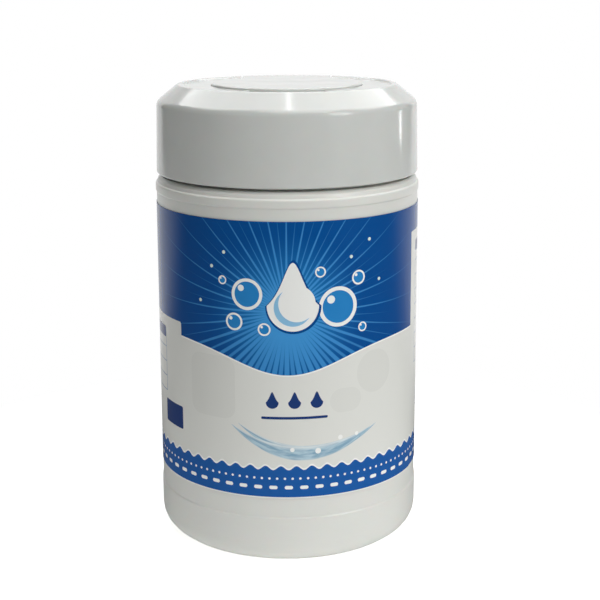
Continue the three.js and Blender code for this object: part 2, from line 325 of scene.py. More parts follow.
def thread_ridge(name, wall_radius, top, side, start):
    """One start of the thread: a section with a narrow crest carried up a helix. Its height over
    the wall swells from nothing and dies out again over the first and last 15 degrees."""
    degrees = np.linspace(0, thread_sweep, 106)
    fade = np.clip(np.minimum(degrees, thread_sweep - degrees) / 15.0, 0, 1)
    rise = thread_depth * np.sin(fade * np.pi / 2)
    section = outline([
        (0.0, -thread_foot / 2, 0),
        (1.0, -thread_crest / 2, 0.5),
        (1.0, thread_crest / 2, 0.5),
        (0.0, thread_foot / 2, 0),
    ])
    out, up = section[:, 0], section[:, 1]
    reach = wall_radius + side * (out * (rise[:, None] + thread_root) - thread_root)
    angle = np.radians(degrees + start)[:, None]
    height = top - thread_lead * (thread_sweep - degrees[:, None]) / 360 + up
    points = np.stack([reach * np.cos(angle), reach * np.sin(angle), height], axis=-1)
    return lofted(name, points)


def thread_ridges(wall_radius, top, side):
    """All starts of the thread, evenly turned round the axis. Side is 1 outwards, -1 inwards."""
    return [
        thread_ridge(f"ridge_{k}", wall_radius, top, side, 360 * k / thread_starts)
        for k in range(thread_starts)
    ]


# Pieces


def canister_body():
    """Blown in one piece: standing ring, pushed-up base, recessed label panel, shoulder and neck."""
    panel = body_radius - panel_recess
    ring_inner = body_radius - base_corner - standing_ring_width
    push_up = ring_inner - push_up_height
    shoulder = panel_top + panel_step + shoulder_band
    lean = body_radius - shoulder_draw
    neck = neck_radius
    neck_foot = shoulder + shoulder_rise
    inside = panel - body_wall
    outside = [
        (0, push_up_height, 0),
        (push_up, push_up_height, 2),
        (ring_inner, 0, 1),
        (body_radius, 0, base_corner),
        (body_radius, base_band_top - panel_step, 0.5),
        (panel, base_band_top, 0.5),
        (panel, panel_top, 0.5),
        (body_radius, panel_top + panel_step, 0.5),
        (body_radius, shoulder - 0.5, shoulder_edge),
        (lean + 0.3, shoulder, 0.3),
        (lean, shoulder + shoulder_rise / 2, 0.8),
        (lean - shoulder_rise / 2, neck_foot, 0.6),
        (neck, neck_foot + seat_gap, 0.6),
        (neck, neck_top, 0.5),
    ]
    within = [
        (neck - body_wall, neck_top, 0.5),
        (neck - body_wall, neck_foot - body_wall, 1.5),
        (inside, shoulder - body_wall, 1.5),
        (inside, body_wall, base_corner - body_wall),
        (ring_inner, body_wall, 1),
        (push_up, push_up_height + body_wall, 2),
        (0, push_up_height + body_wall, 0),
    ]
    shell = turned("canister_moulding", outside + within, on_axis=True)
    moulding = combined(shell, thread_ridges(neck, neck_top - thread_top_drop, 1), "UNION")
    moulding.data.set_sharp_from_angle(angle=math.radians(40))
    return moulding


def label_wrap():
    """Film strip wound once round the panel and a little over its own start. The radius grows with
    the angle, so the end lies on the start with its edge showing as a thin step."""
    inner = -label_low[0] - label_solid + film_gap
    start = label_seam - label_overlap
    length = 2 * np.pi * body_radius + label_overlap
    along = np.linspace(0, length, 721)
    outer = label_high[0] - film_gap / 2
    growth = (outer - film_thickness - inner) * np.clip(along / (2 * np.pi * body_radius), 0, 1) ** 6
    near = inner + growth
    angle = (start + along) / body_radius - np.pi / 2
    levels = [(near, label_foot), (near + film_thickness, label_foot),
              (near + film_thickness, label_high[2]), (near, label_high[2])]
    points = np.stack([
        np.stack([r * np.cos(angle), r * np.sin(angle), np.full_like(angle, z)], axis=-1)
        for r, z in levels
    ], axis=1)
    made = lofted("label_wrap", points)
    made.data.set_sharp_from_angle(angle=math.radians(40))
    return made


def gasket_ring():
    """Flat ring: a rectangle with softened corners carried round the axis."""
    inner, outer = seal_land_inner + running_gap, gasket_high[0]
    low, high = gasket_low[2], gasket_high[2]
    return turned("gasket_ring", [
        (inner, low, 0.25), (outer, low, 0.25), (outer, high, 0.25), (inner, high, 0.25),
    ])


def thumb_dip():
    """Cutter for the dip in front of the lid. Its outline is a superellipse in polar coordinates,
    so it follows the lid's edge; its levels round the floor in and flare the top edge out."""
    inner = well_radius + well_wall
    middle = (inner + thumb_outer) / 2
    half_depth = (thumb_outer - inner) / 2
    half_angle = math.asin(thumb_half_width / thumb_outer)
    floor_round, lip_round = 2.0, 0.4
    v = np.linspace(0, np.pi / 2, 8)
    floor = deck - thumb_depth
    inset = np.concatenate([floor_round * (1 - np.sin(v)), -lip_round * (1 - np.cos(v)), [-lip_round]])
    height = np.concatenate([floor + floor_round * (1 - np.cos(v)),
                             deck - lip_round + lip_round * np.sin(v), [lid_top + 2]])
    t = np.linspace(0, 2 * np.pi, 160, endpoint=False)
    squareness = 2 / 6
    across = np.sign(np.cos(t)) * np.abs(np.cos(t)) ** squareness
    round_it = np.sign(np.sin(t)) * np.abs(np.sin(t)) ** squareness
    radius = middle + (half_depth - inset[:, None]) * across
    angle = -np.pi / 2 + (half_angle - inset[:, None] / middle) * round_it
    points = np.stack([radius * np.cos(angle), radius * np.sin(angle), height[:, None] + 0 * t], axis=-1)
    return lofted("thumb_dip", points)


def thumb_tray():
    """Floor and walls that close the dip from below: the dip's sector, one wall thickness larger."""
    inner = well_radius + well_wall / 2
    outer = thumb_outer + deck_thickness
    half = math.asin((thumb_half_width + deck_thickness) / outer)
    sweep = np.linspace(-np.pi / 2 - half, -np.pi / 2 + half, 40)
    far = np.stack([outer * np.cos(sweep), outer * np.sin(sweep)], axis=-1)
    near = np.stack([inner * np.cos(sweep[::-1]), inner * np.sin(sweep[::-1])], axis=-1)
    low = deck - thumb_depth - deck_thickness
    return extruded("thumb_tray", np.concatenate([far, near]), low, deck - deck_thickness / 2, 2)


def hinge_block():
    """Cheeks, back and floor round the hinge slot, kept inside the cap."""
    half = strap_half + running_gap + pin_length + deck_thickness
    front = hinge_y - knuckle_radius - running_gap - deck_thickness
    floor = hinge_z - knuckle_radius - running_gap - deck_thickness
    housing = block("hinge_block", (-half, front, floor), (half, cap_radius - cap_wall, deck))
    land = seal_land_inner + seat_gap
    inside_cap = turned("inside_cap", [
        (0, floor, 0), (land, floor, 0), (land, deck - deck_thickness, 0),
        (rim_radius - rim_width, deck, 0), (0, deck, 0),
    ], on_axis=True)
    return combined(housing, [inside_cap], "INTERSECT")


def hinge_cutters():
    """Strap channel, knuckle slot, pin sockets, the sloped back and a V notch beside each end."""
    half = strap_half + running_gap
    floor = hinge_z - knuckle_radius - running_gap
    front = hinge_y - knuckle_radius - running_gap
    back = hinge_y + knuckle_radius + slot_back_gap
    above = lid_top + lid_thickness
    seat = lid_under - seat_gap
    slot = block("slot", (-half, front, floor), (half, back, above))
    channel = block("channel", (-half, well_radius / 2, seat), (half, hinge_y, above + 0.5))
    reach = half + pin_length
    sockets = extruded("sockets", circle(pin_radius + pin_gap, hinge_y, hinge_z, 32), -reach, reach, 0)
    foot = hinge_z - running_gap
    rise = 2 * knuckle_radius
    slope = extruded("slope", [
        (back - running_gap, foot),
        (back + rise, foot + rise + running_gap),
        (back - running_gap, foot + rise + running_gap),
    ], -half, half, 0)
    notches = [
        extruded("notch", [
            (side * (half - running_gap), hinge_z),
            (side * (half + notch_width), lid_top),
            (side * (half - running_gap), lid_top),
        ], hinge_y, body_radius, 1)
        for side in (1, -1)
    ]
    return [slot, channel, sockets, slope] + notches


def star_cutters():
    """Round hole and three bars through the middle, which leave six slits between the petals."""
    low, high = well_floor - 2 * well_floor_thickness, well_floor + well_floor_thickness
    hole = extruded("hole", circle(star_hole), low, high, 2)
    bars = []
    for k in range(slit_count // 2):
        turn = np.pi * k / (slit_count // 2)
        half = slit_width / 2
        flat = outline([(-star_reach, -half, half), (star_reach, -half, half),
                        (star_reach, half, half), (-star_reach, half, half)])
        spin = np.array([[math.cos(turn), math.sin(turn)], [-math.sin(turn), math.cos(turn)]])
        bars.append(extruded("slit", flat @ spin, low, high, 2))
    return [hole] + bars


def screw_cap():
    """Cap moulding: skirt, chamfer, rim, deck, lid's seat, well and the land for the gasket, as one
    outline carried round the axis, with the dip, the hinge and the thread joined to it or cut.
    Two more rings of points in the well's floor keep its shading flat."""
    deck_under = deck - deck_thickness
    chamfer_foot = rim_top - chamfer_height
    inner = cap_radius - cap_wall
    well_outer = well_radius + well_wall
    seat = lid_under - seat_gap
    floor_rings = (well_radius - 2.0, star_reach + 1.5)
    shell = turned("cap_moulding", [
        (0, well_floor - well_floor_thickness, 0),
        (well_outer, well_floor - well_floor_thickness, 0.6),
        (well_outer, deck_under, 1.0),
        (rim_radius, deck_under, 0.5),
        (seal_land_inner, deck_under - deck_thickness, 0.5),
        (seal_land_inner, seal_land, 0.2),
        (inner, seal_land, 0.4),
        (cap_foot_radius - cap_wall, cap_foot, 0.4),
        (cap_foot_radius, cap_foot, 0.7),
        (cap_radius, chamfer_foot, cap_edge),
        (rim_radius, rim_top, 0.8),
        (rim_radius - rim_width, rim_top, 0.6),
        (rim_radius - rim_width - deck_drop, deck, 0.4),
        (lid_radius + running_gap, deck, 0.25),
        (lid_radius + running_gap, seat, 0.2),
        (well_radius, seat, 0.3),
        (well_radius, well_floor, 1.2),
        *[(radius, well_floor, 0) for radius in floor_rings],
        (0, well_floor, 0),
    ], on_axis=True)
    cap_thread_top = neck_top - thread_top_drop - thread_foot - running_gap
    additions = [thumb_tray(), hinge_block()]
    additions += thread_ridges(inner + thread_root / 2, cap_thread_top, -1)
    piece = combined(shell, additions, "UNION")
    piece = combined(piece, [thumb_dip()] + hinge_cutters() + star_cutters(), "DIFFERENCE")
    return softened(piece, broken_edge)


def flip_lid():
    """Disc with a plug ring under it, and a strap back to the knuckle and its two pins."""
    plug_outer = well_radius - plug_gap
    plug_foot = lid_under - plug_depth
    disc = turned("lid_moulding", [
        (0, lid_under, 0),
        (plug_outer - plug_wall, lid_under, 0.3),
        (plug_outer - plug_wall, plug_foot, 0.4),
        (plug_outer, plug_foot, 0.5),
        (plug_outer, lid_under, 0.2),
        (lid_radius, lid_under, 0.3),
        (lid_radius, lid_top, lid_edge),
        (0, lid_top, 0),
    ], on_axis=True)
    strap = block("strap", (-strap_half, well_radius / 2, lid_under), (strap_half, hinge_y, lid_top))
    round_bar = circle(knuckle_radius, hinge_y, hinge_z)
    knuckle = extruded("knuckle", round_bar, -strap_half, strap_half, 0)
    reach = strap_half + pin_length
    pins = extruded("pins", circle(pin_radius, hinge_y, hinge_z, 32), -reach, reach, 0)
    return softened(combined(disc, [strap, knuckle, pins], "UNION"), broken_edge)


def wipes_roll():
    """Coreless roll. Its upper face is a spiral of folded edges: the height dips where the radius
    counted in turns, plus the angle, crosses a whole number. The sides swell in slow waves."""
    turns = 30
    radial = np.linspace(0, 1, turns * 6 + 1)
    angle = np.linspace(0, 2 * np.pi, 180, endpoint=False)
    radius = roll_radius - 0.3 - (roll_radius - roll_hole - 0.6) * radial[:, None]
    phase = radial[:, None] * turns + angle / (2 * np.pi)
    fold = np.abs(np.sin(np.pi * phase))
    uneven = 0.25 * np.sin(3 * angle + 9 * radial[:, None])
    uneven += 0.15 * np.sin(7 * angle - 21 * radial[:, None])
    top = roll_top - 0.45 - 0.8 * (1 - fold) ** 1.5 + uneven
    wave = 0.2 * np.sin(5 * angle) + 0.1 * np.sin(11 * angle)
    levels = np.linspace(1, 0, 12)[:, None]
    outer_z = roll_foot + 0.5 + (roll_top - 2.2 - roll_foot) * levels
    outer_r = roll_radius - 0.35 + wave * np.sin(np.pi * levels)
    rows = [
        (outer_r[::-1], outer_z[::-1]),
        (radius, top),
        (roll_hole + 0.4 + 0 * levels + 0 * angle, outer_z),
    ]
    stack_r = np.concatenate([np.broadcast_to(r, (len(r), len(angle))) for r, z in rows])
    stack_z = np.concatenate([np.broadcast_to(z, (len(z), len(angle))) for r, z in rows])
    points = np.stack([stack_r * np.cos(angle), stack_r * np.sin(angle), stack_z], axis=-1)
    faces = grid_faces(len(points), len(angle), close_rows=True).tolist()
    return outward(as_object("roll_of_wipes", points.reshape(-1, 3), faces))


def drawn_up_wipe():
    """The twisted wipe from the middle of the roll up through the star. Its centre line is a
    smooth curve through five places; its section is a pleated star that turns as it climbs,
    is pinched where the petals grip it and opens into a small hollow tuft above them: past the
    tip the sections turn inwards by the cloth's thickness and go down again, ever narrower."""
    places = np.array([
        (roll_hole + tail_radius, 0, roll_top - 14),
        (roll_hole / 2, 0, roll_top - 7),
        (0, 0, roll_top + 14),
        (0, 0, well_floor - well_floor_thickness),
        (0, 0, tail_top),
    ])
    knots = np.concatenate([[0], np.cumsum(np.linalg.norm(np.diff(places, axis=0), axis=1))])
    t = np.linspace(0, 1, 160)
    line = np.stack([np.interp(t * knots[-1], knots, places[:, k]) for k in range(3)], axis=-1)
    kernel = np.hanning(25)
    kernel /= kernel.sum()
    margin = len(kernel) // 2
    padded = np.pad(line, ((margin, margin), (0, 0)), mode="edge")
    line = np.stack([np.convolve(padded[:, k], kernel, "valid") for k in range(3)], axis=-1)
    line[:, 2] += (tail_top - 0.2 - line[-1, 2]) * t ** 8
    ahead = np.gradient(line, axis=0)
    ahead /= np.linalg.norm(ahead, axis=1)[:, None]
    side = np.cross(ahead, (0.0, 1.0, 0.0))
    side /= np.linalg.norm(side, axis=1)[:, None]
    other = np.cross(ahead, side)
    phi = np.linspace(0, 2 * np.pi, 72, endpoint=False)
    climb = line[:, 2:3]
    grip = np.exp(-((climb - well_floor) / 3.0) ** 2)
    tuft = np.clip((climb - well_floor - 0.5) / 4.0, 0, 1)
    size = tail_radius * (1.15 + 0.2 * grip + 0.9 * tuft)
    twist = climb * 0.16
    pleats = 0.2 * np.sin(5 * (phi + twist)) + 0.1 * np.sin(8 * phi - 3 * twist)
    pleats += 0.05 * np.sin(13 * phi)
    crinkle = 0.05 * np.sin(climb * 2.1 + 3 * phi)
    reach = size * (0.78 + (0.7 + 0.6 * tuft) * pleats + crinkle)
    hollow = slice(-1, -1 - hollow_rows, -1)
    narrowing = np.linspace(1, 0.35, hollow_rows)[:, None]
    reach = np.concatenate([reach, np.maximum(reach[hollow] - cloth_thickness, 0.3) * narrowing])
    line, side, other = (np.concatenate([rows, rows[hollow]])[:, None] for rows in (line, side, other))
    points = line + reach[..., None] * (np.cos(phi)[:, None] * side + np.sin(phi)[:, None] * other)
    near_tip = np.clip((line[..., 2] - tail_top) / 2.5 + 1, 0, 1)
    points[:, :, 2] += near_tip * (0.9 * np.sin(4 * phi) + 0.5 * np.sin(7 * phi) - 0.9)
    points[:, :, 2] = np.minimum(points[:, :, 2], tail_top)
    return lofted("drawn_up_wipe", points)


moulded_body = canister_body()
wrap = label_wrap()
ring = gasket_ring()
cap = screw_cap()
lid = flip_lid()
roll = wipes_roll()
tail = drawn_up_wipe()

# Materials


def linear(code):
    """Linear colour from sRGB hex."""
    srgb = [int(code[k:k + 2], 16) / 255 for k in (0, 2, 4)]
    return [c / 12.92 if c <= 0.04045 else ((c + 0.055) / 1.055) ** 2.4 for c in srgb] + [1.0]


def add(tree, kind, inputs=(), out=0, **settings):
    """Adds one node: settings are its properties, inputs are links or values for its sockets."""
    made = tree.nodes.new(kind)
    for name, value in settings.items():
        setattr(made, name, value)
    for key, value in (inputs.items() if isinstance(inputs, dict) else enumerate(inputs)):
        if isinstance(value, bpy.types.NodeSocket):
            tree.links.new(value, made.inputs[key])
        elif value is not None:
            made.inputs[key].default_value = value
    return made.outputs[out] if made.outputs else made


MATH = "ShaderNodeMath"
VECTOR = "ShaderNodeVectorMath"
RANGE = "ShaderNodeMapRange"
MIX = "ShaderNodeMix"
NOISE = "ShaderNodeTexNoise"
BUMP = "ShaderNodeBump"
POINT = "ShaderNodeCombineXYZ"


def new_material(name):
    """An empty material and its node tree."""
    material = bpy.data.materials.new(name)
    material.use_nodes = True
    material.node_tree.nodes.clear()
    return material, material.node_tree


def finish_material(tree, shader):
    """Leads the shader to the material's surface."""
    add(tree, "ShaderNodeOutputMaterial", {"Surface": shader})


def blown_polyethylene():
    """Blow-moulded HDPE: warm white, satin, and faintly wavy because only the mould touches it.
    The waves are about 9 mm long and the orange peel 1.5 mm."""
    material, tree = new_material("blown_polyethylene")
    place = add(tree, "ShaderNodeTexCoord", out="Object")
    waves = add(tree, NOISE, {"Vector": place, "Scale": 1 / 0.009, "Detail": 1.5})
    peel = add(tree, NOISE, {"Vector": place, "Scale": 1 / 0.0015, "Detail": 1.0})
    slow = add(tree, BUMP, {"Strength": 0.1, "Distance": 0.0002, "Height": waves}, "Normal")
    fine = add(tree, BUMP, {
        "Strength": 0.05, "Distance": 0.00004, "Height": peel, "Normal": slow}, "Normal")
    cloud = add(tree, NOISE, {"Vector": place, "Scale": 1 / 0.03, "Detail": 3.0})
    tint = add(tree, MIX, {0: cloud, 6: linear("E2E3DD"), 7: linear("E7E8E2")}, 2, data_type="RGBA")
    rough = add(tree, RANGE, {"Value": waves, "To Min": 0.285, "To Max": 0.345})
    finish_material(tree, add(tree, "ShaderNodeBsdfPrincipled", {
        "Base Color": tint, "Roughness": rough, "IOR": 1.53, "Normal": fine,
        "Subsurface Weight": 0.1, "Subsurface Scale": 0.002}))
    return material


def moulded_polypropylene():
    """Injection-moulded PP: cool white, glossy, with very faint flow marks 12 mm apart and a
    grain so fine that it is drawn 1.5 mm wide to show at all."""
    material, tree = new_material("moulded_polypropylene")
    place = add(tree, "ShaderNodeTexCoord", out="Object")
    flow = add(tree, NOISE, {"Vector": place, "Scale": 1 / 0.012, "Detail": 2.0})
    grain = add(tree, NOISE, {"Vector": place, "Scale": 1 / 0.0015, "Detail": 1.0})
    slow = add(tree, BUMP, {"Strength": 0.15, "Distance": 0.0003, "Height": flow}, "Normal")
    fine = add(tree, BUMP, {
        "Strength": 0.05, "Distance": 0.00003, "Height": grain, "Normal": slow}, "Normal")
    tint = add(tree, MIX, {0: flow, 6: linear("D0D3CF"), 7: linear("D6D8D4")}, 2, data_type="RGBA")
    rough = add(tree, RANGE, {"Value": flow, "To Min": 0.12, "To Max": 0.18})
    finish_material(tree, add(tree, "ShaderNodeBsdfPrincipled", {
        "Base Color": tint, "Roughness": rough, "IOR": 1.49, "Normal": fine,
        "Subsurface Weight": 0.1, "Subsurface Scale": 0.0015}))
    return material


def foamed_polyethylene():
    """Foam gasket: matt, with closed cells about 0.4 mm across."""
    material, tree = new_material("foamed_polyethylene")
    place = add(tree, "ShaderNodeTexCoord", out="Object")
    cells = add(tree, "ShaderNodeTexVoronoi", {"Vector": place, "Scale": 1 / 0.0004}, "Distance")
    dimples = add(tree, BUMP, {"Strength": 0.5, "Distance": 0.0002, "Height": cells}, "Normal")
    tint = add(tree, MIX, {0: cells, 6: linear("EDEDE6"), 7: linear("F6F6F2")}, 2, data_type="RGBA")
    finish_material(tree, add(tree, "ShaderNodeBsdfPrincipled", {
        "Base Color": tint, "Roughness": 0.8, "IOR": 1.5, "Normal": dimples}))
    return material


def spunlace_cloth():
    """Damp spunlace viscose: white, with fibres 0.3 mm apart drawn coarse enough to show, and
    small pressed dimples 1.6 mm apart."""
    material, tree = new_material("spunlace_cloth")
    place = add(tree, "ShaderNodeTexCoord", out="Object")
    fibres = add(tree, NOISE, {"Vector": place, "Scale": 1 / 0.0003, "Detail": 4.0, "Distortion": 1.5})
    dimples = add(tree, "ShaderNodeTexVoronoi", {"Vector": place, "Scale": 1 / 0.0016}, "Distance")
    relief = add(tree, MATH, [fibres, dimples], operation="ADD")
    bump = add(tree, BUMP, {"Strength": 0.6, "Distance": 0.0003, "Height": relief}, "Normal")
    tint = add(tree, MIX, {0: fibres, 6: linear("DDE2E1"), 7: linear("F7F8F6")}, 2, data_type="RGBA")
    finish_material(tree, add(tree, "ShaderNodeBsdfPrincipled", {
        "Base Color": tint, "Roughness": 0.75, "IOR": 1.45, "Normal": bump,
        "Sheen Weight": 0.2, "Subsurface Weight": 0.15, "Subsurface Scale": 0.002}))
    return material


# Label print. Places on it are (s, h): mm round the wrap from the front, to the right, and mm up
# from its foot.
sunburst_centre = (-0.5, 77.8)
sunburst_rays = 64
ray_pitch = 2 * np.pi / sunburst_rays
field_foot = 62.8          # lower edge of the blue field at the sides
field_dip = 11.3           # how far it hangs lower in the middle
field_spread = 27.0
band_height = 12.0
scallop_pitch = 2 * np.pi * body_radius / 56
scallop_height = 1.7
wave_centre = 6.0
wave_foot = 19.1

BLUE = "004F96"
# Darker blue: painted shade on the blue field's sides, and the printed outline round the drop
SIDE_SHADE_AND_OUTLINE_BLUE = "00498F"
GLOW = "2885C9"
RAY = "4BA3E4"
PAPER = "E5E6E0"
WHITE = "F7F8F4"
NAVY = "1F3C78"


def patch(tree, place, centre, half, corner):
    """1 inside a rectangle with rounded corners: the distance from its inner rectangle is under
    the corner's radius. With no half size it is a disc."""
    off = add(tree, VECTOR, [place, (*centre, 0)], operation="SUBTRACT")
    off = add(tree, VECTOR, [off], operation="ABSOLUTE")
    off = add(tree, VECTOR, [off, (*half, 0)], operation="SUBTRACT")
    off = add(tree, VECTOR, [off, (0, 0, 0)], operation="MAXIMUM")
    distance = add(tree, VECTOR, [off], "Value", operation="LENGTH")
    return add(tree, MATH, [distance, corner], operation="LESS_THAN")


def drop(tree, s, h, centre, size):
    """1 inside a water drop: a disc whose upper half is stretched upwards and drawn in to a tip."""
    x = add(tree, MATH, [s, centre[0]], operation="SUBTRACT")
    y = add(tree, MATH, [h, centre[1]], operation="SUBTRACT")
    up = add(tree, MATH, [y, 0.0], operation="MAXIMUM")
    pinch = add(tree, MATH, [up, 1.1 / size, 1.0], operation="MULTIPLY_ADD")
    x = add(tree, MATH, [x, pinch], operation="MULTIPLY")
    y = add(tree, MATH, [up, -0.4, y], operation="MULTIPLY_ADD")
    flat = add(tree, POINT, [x, y])
    distance = add(tree, VECTOR, [flat], "Value", operation="LENGTH")
    return add(tree, MATH, [distance, size], operation="LESS_THAN")


def sunburst(tree, s, h):
    """(glow, rays): the glow falls off from the centre; a ray is drawn where the distance across
    it, from the nearest whole step of angle, is under its half width. Every second ray is long."""
    x = add(tree, MATH, [s, sunburst_centre[0]], operation="SUBTRACT")
    y = add(tree, MATH, [h, sunburst_centre[1]], operation="SUBTRACT")
    flat = add(tree, POINT, [x, y])
    distance = add(tree, VECTOR, [flat], "Value", operation="LENGTH")
    angle = add(tree, MATH, [y, x], operation="ARCTAN2")
    steps = add(tree, MATH, [angle, 1 / ray_pitch], operation="MULTIPLY")
    from_long = add(tree, MATH, [steps, 1.0], operation="PINGPONG")
    from_short = add(tree, MATH, [1.0, from_long], operation="SUBTRACT")
    arc = add(tree, MATH, [distance, ray_pitch], operation="MULTIPLY")
    down = add(tree, MATH, [y, distance], operation="DIVIDE")
    wide = add(tree, RANGE, {
        "Value": down, "From Min": -0.2, "From Max": -0.9, "To Min": 0.0, "To Max": 0.26})
    wide = add(tree, MATH, [wide, arc], operation="MULTIPLY")
    rays = []
    for from_ray, near, shrink, reach in (
        (from_long, 0.62, -0.0095, 62.0),
        (from_short, 0.5, -0.012, 34.0),
    ):
        across = add(tree, MATH, [from_ray, arc], operation="MULTIPLY")
        half = add(tree, MATH, [distance, shrink, near], operation="MULTIPLY_ADD")
        half = add(tree, MATH, [half, wide], operation="ADD")
        edge = add(tree, MATH, [half, across], operation="SUBTRACT")
        solid = add(tree, RANGE, {"Value": edge, "From Min": -0.12, "From Max": 0.18})
        fade = add(tree, RANGE, {
            "Value": distance, "From Min": reach, "From Max": 10.0, "To Min": 0.6, "To Max": 1.0})
        solid = add(tree, MATH, [solid, fade], operation="MULTIPLY")
        rays.append(solid)
    both = add(tree, MATH, rays, operation="MAXIMUM")
    both = add(tree, MATH, [both, 0.72], operation="MULTIPLY")
    glow = add(tree, RANGE, {
        "Value": distance, "From Min": 34.0, "From Max": 4.0}, interpolation_type="SMOOTHSTEP")
    return glow, both


def water_wave(tree, s, h, shift, thick):
    """(inside, layer): a band about a parabola, thickest in the middle and drawn to a point at
    both ends; layer runs from -1 at its lower edge to 1 at its upper edge."""
    u = add(tree, MATH, [s, wave_centre + shift], operation="SUBTRACT")
    left = add(tree, MATH, [u, 0.0], operation="LESS_THAN")
    steep = add(tree, MATH, [left, 0.0038, 0.0085], operation="MULTIPLY_ADD")
    square = add(tree, MATH, [u, u], operation="MULTIPLY")
    middle = add(tree, MATH, [square, steep, wave_foot + 0.3 * shift], operation="MULTIPLY_ADD")
    taper = add(tree, MATH, [square, -1 / 30.0 ** 2, 1.0], operation="MULTIPLY_ADD")
    half = add(tree, MATH, [taper, thick], operation="MULTIPLY")
    half = add(tree, MATH, [half, 0.001], operation="MAXIMUM")
    layer = add(tree, MATH, [h, middle], operation="SUBTRACT")
    layer = add(tree, MATH, [layer, half], operation="DIVIDE")
    size = add(tree, MATH, [layer], operation="ABSOLUTE")
    inside = add(tree, RANGE, {"Value": size, "From Min": 1.0, "From Max": 0.8})
    return inside, layer


